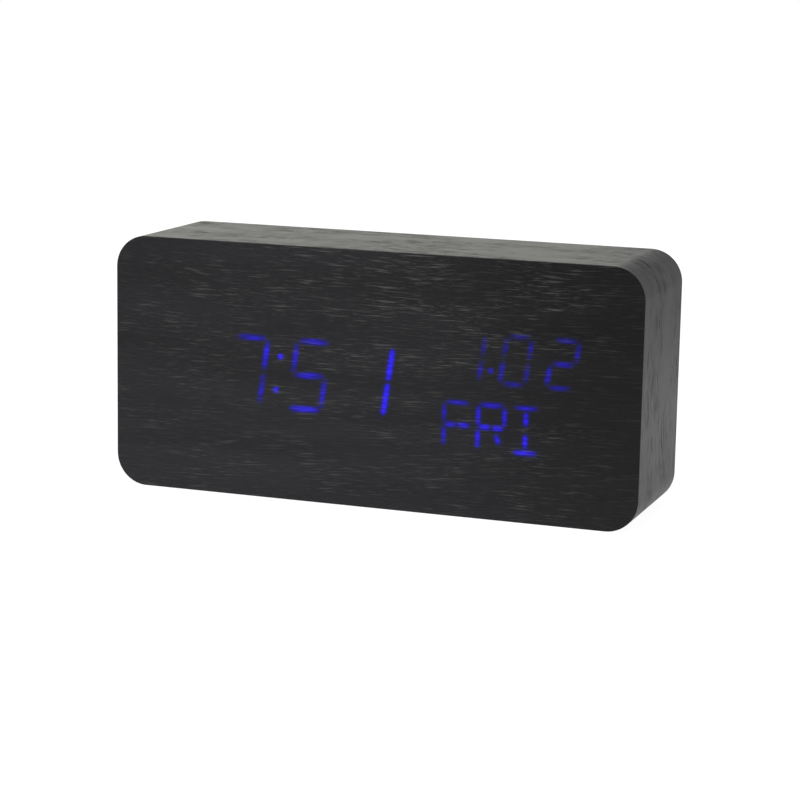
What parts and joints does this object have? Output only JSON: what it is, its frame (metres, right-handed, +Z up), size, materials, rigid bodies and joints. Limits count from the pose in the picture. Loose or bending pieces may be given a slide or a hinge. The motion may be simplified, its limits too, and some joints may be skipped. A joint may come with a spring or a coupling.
{
  "type": "wooden digital clock",
  "caption": "Wooden block desk clock whose blue time, date and weekday readout shines through the front veneer, with a hinged battery door and push buttons at the back.",
  "frame": {"origin": "middle of the clock's underside, on the surface that it stands on", "axes": "+X to the right seen from the front, +Y from the front to the back, +Z up"},
  "size_m": [0.15, 0.04, 0.07],
  "materials": {
    "fibreboard": "routed medium-density fibreboard",
    "wrap_wood": "black-stained wood grain, satin",
    "front_wood": "black-stained wood grain, satin",
    "diffuser": "frosted film",
    "mask_plastic": "white moulded plastic",
    "blue_light": "lit blue display segment",
    "circuit_board": "green solder mask",
    "zinc_screws": "zinc plated",
    "chip_plastic": "black moulded epoxy",
    "connector_plastic": "ivory nylon",
    "ribbon_plastic": "grey ribbon cable",
    "black_plastic": "fine-textured black plastic",
    "black_screws": "black oxide",
    "cell_sleeve": "plain grey-blue shrink sleeve",
    "nickel": "nickel plated spring steel",
    "red_insulation": "red wire insulation",
    "black_insulation": "black wire insulation",
    "button_plastic": "smooth black plastic",
    "switch_steel": "tinned steel can",
    "capacitor_sleeve": "dark blue sleeve",
    "sensor_bead": "green epoxy bead"
  },
  "bodies": {
    "clock_case": {"case_core": "fibreboard", "wrap_veneer": "wrap_wood", "front_veneer": "front_wood", "back_veneer": "wrap_wood", "diffuser_film": "diffuser", "segment_mask": "mask_plastic", "display_leds": "blue_light", "display_board": "circuit_board", "display_screws": "zinc_screws", "driver_chip": "chip_plastic", "display_connector": "connector_plastic", "ribbon_cable": "ribbon_plastic", "control_connector": "connector_plastic", "rear_panel": "black_plastic", "panel_screws": "black_screws", "cell_1": "cell_sleeve", "cell_2": "cell_sleeve", "cell_3": "cell_sleeve", "cell_4": "cell_sleeve", "contact_plates": "nickel", "contact_springs": "nickel", "battery_lead_red": "red_insulation", "battery_lead_black": "black_insulation", "set_switch": "switch_steel", "up_switch": "switch_steel", "down_switch": "switch_steel", "control_board": "circuit_board", "control_screws": "zinc_screws", "control_chip": "chip_plastic", "clock_crystal": "switch_steel", "filter_capacitors": "capacitor_sleeve", "buzzer": "chip_plastic", "microphone": "switch_steel", "temperature_sensor": "sensor_bead", "power_port": "nickel", "power_port_tongue": "chip_plastic"},
    "battery_door": {"battery_door": "black_plastic"},
    "set_button": {"set_button": "button_plastic", "set_plunger": "chip_plastic"},
    "up_button": {"up_button": "button_plastic", "up_plunger": "chip_plastic"},
    "down_button": {"down_button": "button_plastic", "down_plunger": "chip_plastic"}
  },
  "joints": [
    {"name": "battery_door_hinge", "type": "hinge", "parent": "clock_case", "child": "battery_door", "pos_m": [0.02468, 0.0183, 0.01265], "axis": [-1, 0, 0], "range_deg": [0, 90]},
    {"name": "set_button_press", "type": "slide", "parent": "clock_case", "child": "set_button", "axis": [0, -1, 0], "range_m": [0, 0.0005], "stiffness_N_per_m": 800},
    {"name": "up_button_press", "type": "slide", "parent": "clock_case", "child": "up_button", "axis": [0, -1, 0], "range_m": [0, 0.0005], "stiffness_N_per_m": 800},
    {"name": "down_button_press", "type": "slide", "parent": "clock_case", "child": "down_button", "axis": [0, -1, 0], "range_m": [0, 0.0005], "stiffness_N_per_m": 800}
  ]
}
